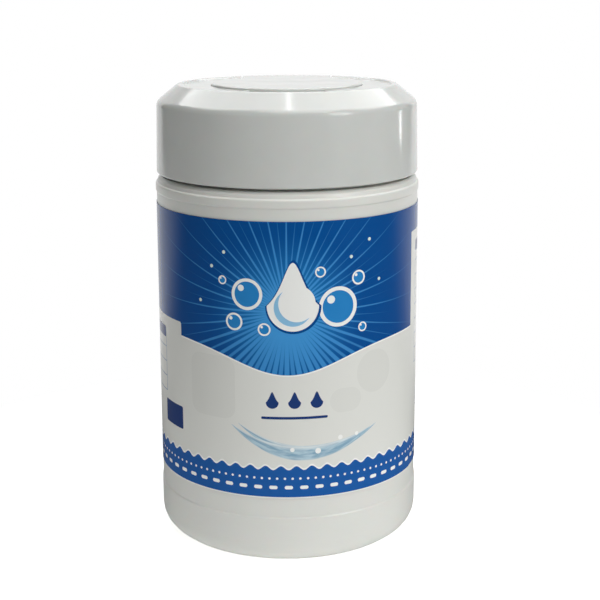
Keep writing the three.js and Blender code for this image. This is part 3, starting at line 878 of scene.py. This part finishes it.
def printed_film():
    """Gloss polypropylene film, printed: blue field with a sunburst and a curved white-lined foot,
    drop and bubbles, water wave, scalloped band, and plain panels round the back."""
    material, tree = new_material("printed_film")
    coordinates = add(tree, "ShaderNodeTexCoord", out="Object")
    axes = add(tree, "ShaderNodeSeparateXYZ", [coordinates]).node.outputs
    front = add(tree, MATH, [axes["Y"], -1.0], operation="MULTIPLY")
    angle = add(tree, MATH, [axes["X"], front], operation="ARCTAN2")
    s = add(tree, MATH, [angle, body_radius], operation="MULTIPLY")
    h = add(tree, MATH, [axes["Z"], 1 / MM, -label_foot], operation="MULTIPLY_ADD")
    place = add(tree, POINT, [s, h])

    # Blue field
    glow, rays = sunburst(tree, s, h)
    away = add(tree, MATH, [s], operation="ABSOLUTE")
    # The field turns to the darker blue from 25 to 60 mm round from the front, on both sides: painted shade
    # where the wrap turns away from the light.
    painted_side_shade = add(tree, RANGE, {"Value": away, "From Min": 25.0, "From Max": 60.0})
    field = add(tree, MIX, {0: painted_side_shade, 6: linear(BLUE), 7: linear(SIDE_SHADE_AND_OUTLINE_BLUE)}, 2, data_type="RGBA")
    glow = add(tree, MATH, [glow, 0.75], operation="MULTIPLY")
    spread = add(tree, MATH, [s, 1 / field_spread], operation="MULTIPLY")
    bell = add(tree, MATH, [spread, spread], operation="MULTIPLY")
    bell = add(tree, MATH, [bell, -1.0], operation="MULTIPLY")
    bell = add(tree, MATH, [bell], operation="EXPONENT")
    foot = add(tree, MATH, [bell, -field_dip, field_foot], operation="MULTIPLY_ADD")
    below = add(tree, MATH, [h, foot], operation="LESS_THAN")
    off_edge = add(tree, MATH, [h, foot], operation="SUBTRACT")
    off_edge = add(tree, MATH, [off_edge], operation="ABSOLUTE")
    line = add(tree, MATH, [off_edge, 0.3], operation="LESS_THAN")

    # Water wave
    waves = [water_wave(tree, s, h, 3.0, 2.2), water_wave(tree, s, h, 0.0, 3.2)]
    streaks = []
    for inside, layer in waves:
        run = add(tree, MATH, [s, 0.06], operation="MULTIPLY")
        flat = add(tree, POINT, [run, layer])
        noise = add(tree, NOISE, {"Vector": flat, "Scale": 2.2, "Detail": 3.0, "Distortion": 0.6})
        streak = add(tree, RANGE, {"Value": noise, "From Min": 0.38, "From Max": 0.62})
        streaks.append(streak)

    # Scalloped band
    lobe = add(tree, MATH, [s, 2 * np.pi / scallop_pitch], operation="MULTIPLY")
    lobe = add(tree, MATH, [lobe], operation="COSINE")
    lobe = add(tree, MATH, [lobe, -0.5, 0.5], operation="MULTIPLY_ADD")
    crest = add(tree, MATH, [lobe, scallop_height, band_height], operation="MULTIPLY_ADD")
    band = add(tree, MATH, [h, crest], operation="LESS_THAN")
    crest_line = add(tree, MATH, [crest, 0.75], operation="ADD")
    band_line = add(tree, MATH, [h, crest_line], operation="LESS_THAN")
    hem = add(tree, MATH, [h, 0.45], operation="LESS_THAN")

    layers = [
        (glow, GLOW),
        (rays, RAY),
        (below, PAPER),
        (line, WHITE),
    ]

    # Pale shapes in the white field, side and back panels
    for centre, half, corner, shade in (
        ((-33, 45), (6.0, 8.0), 5.0, "E0E1DB"),
        ((38, 50), (0, 0), 9.0, "E0E1DB"),
        ((24, 40), (2.0, 0), 5.0, "E1E2DC"),
        ((-89.5, 30), (37.9, 37.3), 1.0, PAPER),
        ((-58.2, 27), (6.9, 4.1), 0.8, NAVY),
        ((124.4, 50), (58.0, 52.0), 1.0, PAPER),
        ((-155, 50), (27.0, 52.0), 1.0, PAPER),
    ):
        layers.append((patch(tree, place, centre, half, corner), shade))

    for (inside, layer), streak in zip(waves, streaks):
        layers.append((inside, "B9D3DE"))
        dark = add(tree, MATH, [inside, streak], operation="MULTIPLY")
        dark = add(tree, MATH, [dark, 0.7], operation="MULTIPLY")
        layers.append((dark, "6F9BB8"))
        light = add(tree, RANGE, {"Value": layer, "From Min": 0.35, "From Max": 0.75})
        light = add(tree, MATH, [light, inside], operation="MULTIPLY")
        light = add(tree, MATH, [light, 0.6], operation="MULTIPLY")
        layers.append((light, WHITE))
    for centre, size in (
        ((1.5, 20.6), 0.9), ((12.0, 19.8), 1.2), ((21.5, 24.5), 1.0), ((29.0, 25.0), 0.8),
    ):
        layers.append((patch(tree, place, centre, (0, 0), size), WHITE))

    # Bubbles and drop on the sunburst
    for centre, size in (
        ((-16.5, 84.5), 6.4), ((20.5, 79.0), 8.2), ((-22.0, 73.0), 3.6), ((29.5, 90.0), 3.0),
        ((13.0, 93.5), 2.2), ((-9.5, 70.5), 2.6), ((31.5, 69.5), 2.0), ((-27.0, 89.5), 1.8),
    ):
        width = 0.16 * size + 0.25
        shine = (centre[0] - 0.38 * size, centre[1] + 0.38 * size)
        layers.append((patch(tree, place, centre, (0, 0), size), WHITE))
        layers.append((patch(tree, place, centre, (0, 0), size - width), GLOW))
        layers.append((patch(tree, place, shine, (0, 0), 0.2 * size), WHITE))
    layers.append((drop(tree, s, h, (2.2, 80.0), 11.2), SIDE_SHADE_AND_OUTLINE_BLUE))
    layers.append((drop(tree, s, h, (2.0, 80.2), 10.4), WHITE))
    layers.append((patch(tree, place, (2.0, 79.4), (0, 0), 7.6), "8FC4E6"))
    layers.append((patch(tree, place, (3.6, 81.0), (0, 0), 7.4), WHITE))

    # Small lights on the field
    for centre in (
        (-26.2, 100.8), (-32.0, 94.7), (34.7, 104.9), (26.1, 98.7), (-38.0, 80.0), (40.0, 88.0),
    ):
        layers.append((patch(tree, place, centre, (0, 0), 0.7), "D9EDE6"))

    # Three small drops and a rule in the white field
    for centre in ((-6.5, 40.5), (2.5, 40.5), (11.5, 40.5)):
        layers.append((drop(tree, s, h, centre, 2.6), NAVY))
    layers.append((patch(tree, place, (2.5, 34.0), (13.0, 0.0), 0.55), NAVY))

    # Plain tables and round marks in the panels
    for middle, half, head, rows, pitch, columns in (
        (111.0, 38.0, 96.0, 8, 6.4, (-38.0, -16.0, 38.0)),
        (-154.0, 20.0, 96.0, 6, 6.4, (-20.0, 20.0)),
        (-92.0, 27.0, 61.0, 4, 6.4, (-27.0, -9.0, 9.0, 27.0)),
    ):
        layers.append((patch(tree, place, (middle, head), (half - 1, 1.4), 1.0), NAVY))
        foot_row = head - rows * pitch
        for row in range(rows):
            height = head - (row + 1) * pitch
            layers.append((patch(tree, place, (middle, height), (half, 0.0), 0.2), "8EA3BE"))
        for column in columns:
            centre = (middle + column, (head + foot_row) / 2)
            layers.append((patch(tree, place, centre, (0.0, (head - foot_row) / 2), 0.2), "8EA3BE"))
    for mark in range(5):
        centre = (81.0 + 15 * mark, 28.0)
        layers.append((patch(tree, place, centre, (0, 0), 4.6), NAVY))
        layers.append((patch(tree, place, centre, (0, 0), 4.0), PAPER))
        layers.append((drop(tree, s, h, (centre[0], centre[1] - 0.8), 2.0), NAVY))

    # Band, its white edge, its rows of dots and dashes, and the white hem
    layers.append((band_line, WHITE))
    layers.append((band, "1B5CA8"))
    beads = add(tree, MATH, [s, scallop_pitch / 2], operation="PINGPONG")
    bead_place = add(tree, POINT, [beads, h])
    layers.append((patch(tree, bead_place, (scallop_pitch / 4, 8.4), (0, 0), 0.5), WHITE))
    layers.append((patch(tree, bead_place, (0, 4.6), (0.95, 0), 0.75), WHITE))
    layers.append((hem, WHITE))

    colour = field
    for mask, shade in layers:
        colour = add(tree, MIX, {0: mask, 6: colour, 7: linear(shade)}, 2, data_type="RGBA")

    ripple = add(tree, NOISE, {"Vector": coordinates, "Scale": 1 / 0.014, "Detail": 1.0})
    normal = add(tree, BUMP, {"Strength": 0.12, "Distance": 0.0002, "Height": ripple}, "Normal")
    finish_material(tree, add(tree, "ShaderNodeBsdfPrincipled", {
        "Base Color": colour, "Roughness": 0.22, "IOR": 1.49, "Specular IOR Level": 0.22,
        "Normal": normal}))
    return material


body_plastic = blown_polyethylene()
cap_plastic = moulded_polypropylene()

for piece, material, body, slot, nodes in (
    (moulded_body, body_plastic, "canister", "body_plastic", ["canister_body"]),
    (wrap, printed_film(), "canister", "printed_film", ["label"]),
    (roll, spunlace_cloth(), "canister", "wipe_cloth", ["wipes_roll"]),
    (ring, foamed_polyethylene(), "gasket", "gasket_foam", ["cap_gasket"]),
    (cap, cap_plastic, "cap", "cap_plastic", ["screw_cap"]),
    (lid, cap_plastic, "lid", "cap_plastic", ["flip_lid"]),
):
    piece.data.materials.clear()
    piece.data.materials.append(material)
    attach(piece, body)
    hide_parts(*nodes)
tail.data.materials.clear()
tail.data.materials.append(roll.data.materials[0])
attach(tail, "canister")

# White sweep, room and lamps
ambient = 0.13             # what gloss and the surfaces get from the room, where the camera sees 1
table_glow = 0.42          # the paper's own light beside the object


def white_paper():
    """Pale paper that keeps the shadow near the object and is plain white further out. Gloss shows
    it white behind the object and dimmer in front, where the room is darker. A little light of
    its own stands in for the bright table round it."""
    material, tree = new_material("white_paper")
    path = add(tree, "ShaderNodeLightPath").node.outputs
    gloss = add(tree, MATH, [path["Is Glossy Ray"], path["Is Transmission Ray"]], operation="MAXIMUM")
    place = add(tree, "ShaderNodeTexCoord", out="Object")
    depth = add(tree, "ShaderNodeSeparateXYZ", [place]).node.outputs["Y"]
    behind = add(tree, RANGE, {"Value": depth, "From Min": 0.1, "From Max": 0.3, "To Min": ambient})
    distance = add(tree, VECTOR, [place], "Value", operation="LENGTH")
    far = add(tree, RANGE, {"Value": distance, "From Min": 0.1, "From Max": 0.22})
    far = add(tree, MATH, [far, path["Is Camera Ray"]], operation="MULTIPLY")
    far = add(tree, MATH, [far, gloss], operation="MAXIMUM")
    lift = add(tree, MATH, [path["Is Camera Ray"], 0.75, 0.8], operation="MULTIPLY_ADD")
    shade = add(tree, "ShaderNodeCombineColor", [lift, lift, lift])
    matt = add(tree, "ShaderNodeBsdfDiffuse", {"Color": shade})
    near = add(tree, RANGE, {
        "Value": distance, "From Min": 0.1, "From Max": 0.35, "To Min": table_glow, "To Max": 0.1})
    glow = add(tree, "ShaderNodeEmission", {"Color": (1, 1, 1, 1), "Strength": near})
    lit = add(tree, "ShaderNodeAddShader", [matt, glow])
    level = add(tree, MATH, [behind, path["Is Camera Ray"]], operation="MAXIMUM")
    white = add(tree, "ShaderNodeEmission", {"Color": (1, 1, 1, 1), "Strength": level})
    finish_material(tree, add(tree, "ShaderNodeMixShader", [far, lit, white]))
    return material


def white_sweep():
    """Paper sweep: flat from the front edge to the bend, a quarter circle up, then a wall. The
    profile runs by its own length and is carried straight across."""
    half_width, front, back, bend, top = 900.0, -450.0, 1100.0, 250.0, 1300.0
    quarter = np.linspace(0, np.pi / 2, 17)
    flat = np.linspace(front, back - bend, 12)
    y = np.concatenate([flat, back - bend + bend * np.sin(quarter), [back]])
    z = np.concatenate([0 * flat, bend - bend * np.cos(quarter), [top]])
    x = np.array([-half_width, half_width])
    points = np.stack([x + 0 * y[:, None], y[:, None] + 0 * x, z[:, None] + 0 * x], axis=-1)
    faces = grid_faces(len(y), 2, close_columns=False).tolist()
    made = as_object("white_sweep", points.reshape(-1, 3), faces)
    made.data.materials.append(white_paper())
    return made


white_sweep()

scene = bpy.context.scene
world = bpy.data.worlds.new("white_room")
scene.world = world
world.use_nodes = True
world.node_tree.nodes.clear()
path = add(world.node_tree, "ShaderNodeLightPath").node.outputs
seen = add(world.node_tree, MATH, [path["Is Camera Ray"], path["Is Transmission Ray"]], operation="MAXIMUM")
level = add(world.node_tree, MATH, [seen, 1 - ambient, ambient], operation="MULTIPLY_ADD")
surround = add(world.node_tree, "ShaderNodeBackground", {"Color": (1, 1, 1, 1), "Strength": level})
add(world.node_tree, "ShaderNodeOutputWorld", {"Surface": surround})


def lamp(name, place, target, width, height, watts, matt=True, gloss=True):
    """Soft rectangular lamp at place, turned to target (metres), for matt light, gloss or both."""
    light = bpy.data.lights.new(name, "AREA")
    light.shape = "RECTANGLE"
    light.size = width
    light.size_y = height
    light.energy = watts
    made = bpy.data.objects.new(name, light)
    aim = (Vector(target) - Vector(place)).to_track_quat("-Z", "Y")
    made.matrix_world = Matrix.Translation(place) @ aim.to_matrix().to_4x4()
    made.visible_diffuse = matt
    made.visible_glossy = gloss
    made.visible_camera = False
    scene.collection.objects.link(made)


lamp("overhead", (0.12, -0.35, 0.95), (0, 0, 0.15), 0.7, 0.6, 4.4)
lamp("ceiling_panel", (0.1, 0.5, 1.0), (0.1, 0.5, 0), 1.8, 1.2, 27.0, matt=False)
lamp("rear_fill", (-0.3, 0.9, 0.7), (0, 0, 0.1), 0.5, 0.5, 2.4, gloss=False)
lamp("right", (0.75, -0.7, 0.5), (0, 0, 0.1), 0.35, 0.7, 3.6)
lamp("ceiling", (0.02, 0.12, 1.25), (0.02, 0.12, 0), 0.006, 0.5, 0.6)
lamp("doorway", (0.314, 0.103, 0.151), (0.045, -0.031, 0.181), 0.01, 0.02, 0.012, matt=False)

# Camera, fitted to the photograph
camera_place = Vector((0.0, -0.5521, 0.23638))
camera_pitch = math.radians(11.428)
camera_roll = math.radians(-0.192)
camera_yaw = math.radians(0.559)
camera_data = bpy.data.cameras.new("camera")
camera_data.lens = 78.178
camera_data.sensor_width = 36.0
camera_data.shift_y = -0.10
camera_data.clip_start = 0.01
camera = bpy.data.objects.new("camera", camera_data)
ahead = Vector((math.sin(camera_yaw) * math.cos(camera_pitch),
                math.cos(camera_yaw) * math.cos(camera_pitch), -math.sin(camera_pitch)))
level_right = Vector((math.cos(camera_yaw), -math.sin(camera_yaw), 0))
level_up = level_right.cross(ahead)
right = math.cos(camera_roll) * level_right + math.sin(camera_roll) * level_up
up = -math.sin(camera_roll) * level_right + math.cos(camera_roll) * level_up
turn = Matrix((right, up, -ahead)).transposed().to_4x4()
camera.matrix_world = Matrix.Translation(camera_place) @ turn
scene.collection.objects.link(camera)
scene.camera = camera

scene.view_settings.view_transform = "Standard"
